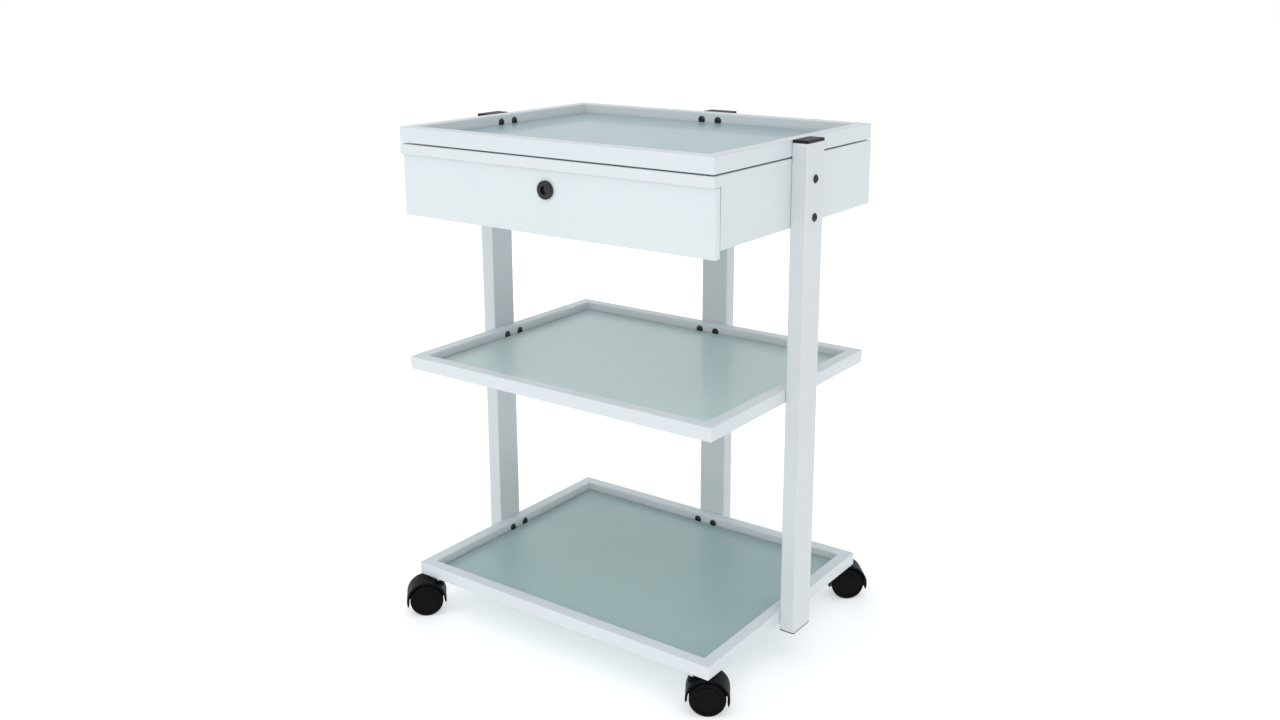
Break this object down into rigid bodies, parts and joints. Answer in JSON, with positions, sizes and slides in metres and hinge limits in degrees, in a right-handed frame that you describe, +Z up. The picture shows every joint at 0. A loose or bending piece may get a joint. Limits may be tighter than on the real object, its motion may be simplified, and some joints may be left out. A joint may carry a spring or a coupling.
{
  "type": "rolling salon trolley",
  "caption": "Wheeled salon trolley: framed frosted-glass shelves on three tube posts, a roller-run drawer with a push-button lock, and hooded twin-wheel swivel casters",
  "frame": {"origin": "On the floor, under the middle of the shelves", "axes": "X runs left to right along the long side of the shelves, -Y is the drawer side, +Z is up"},
  "size_m": [0.626, 0.5315, 0.8045],
  "materials": {
    "white_powder_coat": "smooth semi-gloss white powder coat with a faint blue tint",
    "frosted_glass": "tempered glass frosted on its underside, pale blue-green",
    "clear_bumper": "soft clear bumper",
    "black_plastic": "fine-textured moulded black",
    "button_plastic": "smooth dark grey",
    "black_bolt": "black oxide with a slight sheen",
    "zinc_steel": "bright zinc plate",
    "roller_nylon": "natural nylon",
    "caster_plastic": "moulded black nylon, satin",
    "wheel_nylon": "hard black nylon tread"
  },
  "bodies": {
    "frame": {"left_post": "white_powder_coat", "right_post": "white_powder_coat", "back_post": "white_powder_coat", "post_top_caps": "black_plastic", "post_bottom_plugs": "black_plastic", "bottom_shelf_frame": "white_powder_coat", "middle_shelf_frame": "white_powder_coat", "tray_frame": "white_powder_coat", "bottom_shelf_glass": "frosted_glass", "middle_shelf_glass": "frosted_glass", "tray_glass": "frosted_glass", "glass_bumpers": "clear_bumper", "shelf_bolts": "black_bolt", "shelf_bolt_nuts": "zinc_steel", "housing_bolts": "black_bolt", "housing_bolt_nuts": "zinc_steel", "drawer_housing": "white_powder_coat", "runner_studs": "zinc_steel", "left_outer_runner": "zinc_steel", "right_outer_runner": "zinc_steel", "front_roller_pins": "zinc_steel", "lock_keeper": "zinc_steel", "caster_stems": "zinc_steel", "caster_sockets": "zinc_steel"},
    "drawer": {"drawer_box": "white_powder_coat", "drawer_front": "white_powder_coat", "drawer_front_screws": "zinc_steel", "left_inner_runner": "zinc_steel", "right_inner_runner": "zinc_steel", "rear_roller_pins": "zinc_steel", "lock_ring": "black_plastic", "lock_ring_nut": "zinc_steel", "lock_body": "black_plastic", "lock_spring": "zinc_steel"},
    "lock_button": {"lock_button": "button_plastic"},
    "lock_latch": {"lock_latch": "zinc_steel"},
    "left_front_roller": {"left_front_roller": "roller_nylon"},
    "left_rear_roller": {"left_rear_roller": "roller_nylon"},
    "right_front_roller": {"right_front_roller": "roller_nylon"},
    "right_rear_roller": {"right_rear_roller": "roller_nylon"},
    "front_left_caster": {"front_left_caster_hood": "caster_plastic", "front_left_caster_axle": "zinc_steel"},
    "front_left_caster_left_wheel": {"front_left_caster_left_wheel": "wheel_nylon"},
    "front_left_caster_right_wheel": {"front_left_caster_right_wheel": "wheel_nylon"},
    "front_right_caster": {"front_right_caster_hood": "caster_plastic", "front_right_caster_axle": "zinc_steel"},
    "front_right_caster_left_wheel": {"front_right_caster_left_wheel": "wheel_nylon"},
    "front_right_caster_right_wheel": {"front_right_caster_right_wheel": "wheel_nylon"},
    "back_right_caster": {"back_right_caster_hood": "caster_plastic", "back_right_caster_axle": "zinc_steel"},
    "back_right_caster_left_wheel": {"back_right_caster_left_wheel": "wheel_nylon"},
    "back_right_caster_right_wheel": {"back_right_caster_right_wheel": "wheel_nylon"},
    "back_left_caster": {"back_left_caster_hood": "caster_plastic", "back_left_caster_axle": "zinc_steel"},
    "back_left_caster_left_wheel": {"back_left_caster_left_wheel": "wheel_nylon"},
    "back_left_caster_right_wheel": {"back_left_caster_right_wheel": "wheel_nylon"}
  },
  "joints": [
    {"name": "drawer_slide", "type": "slide", "parent": "frame", "child": "drawer", "axis": [0, -1, 0], "range_m": [0, 0.3]},
    {"name": "button_push", "type": "slide", "parent": "drawer", "child": "lock_button", "axis": [0, -1, 0], "range_m": [0, 0.012]},
    {"name": "latch_slide", "type": "slide", "parent": "drawer", "child": "lock_latch", "axis": [0, 0, -1], "range_m": [0, 0.008], "deforming": ["lock_spring"]},
    {"name": "left_front_roller_spin", "type": "hinge", "parent": "frame", "child": "left_front_roller", "pos_m": [-0.277, -0.186, 0.716], "axis": [1, 0, 0], "range_deg": [0, 1920]},
    {"name": "left_rear_roller_spin", "type": "hinge", "parent": "drawer", "child": "left_rear_roller", "pos_m": [-0.277, 0.184, 0.7133], "axis": [1, 0, 0], "range_deg": [0, 1920]},
    {"name": "right_front_roller_spin", "type": "hinge", "parent": "frame", "child": "right_front_roller", "pos_m": [0.277, -0.186, 0.716], "axis": [1, 0, 0], "range_deg": [0, 1920]},
    {"name": "right_rear_roller_spin", "type": "hinge", "parent": "drawer", "child": "right_rear_roller", "pos_m": [0.277, 0.184, 0.7133], "axis": [1, 0, 0], "range_deg": [0, 1920]},
    {"name": "front_left_caster_swivel", "type": "hinge", "parent": "frame", "child": "front_left_caster", "pos_m": [-0.253, -0.215, 0.05], "axis": [0, 0, 1], "continuous": true},
    {"name": "front_left_caster_left_wheel_spin", "type": "hinge", "parent": "front_left_caster", "child": "front_left_caster_left_wheel", "pos_m": [-0.26785, -0.22985, 0.027], "axis": [0.7071, -0.7071, 0], "continuous": true},
    {"name": "front_left_caster_right_wheel_spin", "type": "hinge", "parent": "front_left_caster", "child": "front_left_caster_right_wheel", "pos_m": [-0.26785, -0.22985, 0.027], "axis": [0.7071, -0.7071, 0], "continuous": true},
    {"name": "front_right_caster_swivel", "type": "hinge", "parent": "frame", "child": "front_right_caster", "pos_m": [0.253, -0.215, 0.05], "axis": [0, 0, 1], "continuous": true},
    {"name": "front_right_caster_left_wheel_spin", "type": "hinge", "parent": "front_right_caster", "child": "front_right_caster_left_wheel", "pos_m": [0.27081, -0.20387, 0.027], "axis": [-0.5299, 0.848, 0], "continuous": true},
    {"name": "front_right_caster_right_wheel_spin", "type": "hinge", "parent": "front_right_caster", "child": "front_right_caster_right_wheel", "pos_m": [0.27081, -0.20387, 0.027], "axis": [-0.5299, 0.848, 0], "continuous": true},
    {"name": "back_right_caster_swivel", "type": "hinge", "parent": "frame", "child": "back_right_caster", "pos_m": [0.253, 0.215, 0.05], "axis": [0, 0, 1], "continuous": true},
    {"name": "back_right_caster_left_wheel_spin", "type": "hinge", "parent": "back_right_caster", "child": "back_right_caster_left_wheel", "pos_m": [0.26909, 0.2285, 0.027], "axis": [-0.6428, 0.766, 0], "continuous": true},
    {"name": "back_right_caster_right_wheel_spin", "type": "hinge", "parent": "back_right_caster", "child": "back_right_caster_right_wheel", "pos_m": [0.26909, 0.2285, 0.027], "axis": [-0.6428, 0.766, 0], "continuous": true},
    {"name": "back_left_caster_swivel", "type": "hinge", "parent": "frame", "child": "back_left_caster", "pos_m": [-0.253, 0.215, 0.05], "axis": [0, 0, 1], "continuous": true},
    {"name": "back_left_caster_left_wheel_spin", "type": "hinge", "parent": "back_left_caster", "child": "back_left_caster_left_wheel", "pos_m": [-0.27119, 0.2255, 0.027], "axis": [-0.5, -0.866, 0], "continuous": true},
    {"name": "back_left_caster_right_wheel_spin", "type": "hinge", "parent": "back_left_caster", "child": "back_left_caster_right_wheel", "pos_m": [-0.27119, 0.2255, 0.027], "axis": [-0.5, -0.866, 0], "continuous": true}
  ],
  "couplings": [
    {"joint": "latch_slide", "follows": "button_push", "ratio": 0.66667},
    {"joint": "left_front_roller_spin", "follows": "drawer_slide", "rad_per_m": 111.11},
    {"joint": "left_rear_roller_spin", "follows": "drawer_slide", "rad_per_m": 111.11},
    {"joint": "right_front_roller_spin", "follows": "drawer_slide", "rad_per_m": 111.11},
    {"joint": "right_rear_roller_spin", "follows": "drawer_slide", "rad_per_m": 111.11}
  ]
}
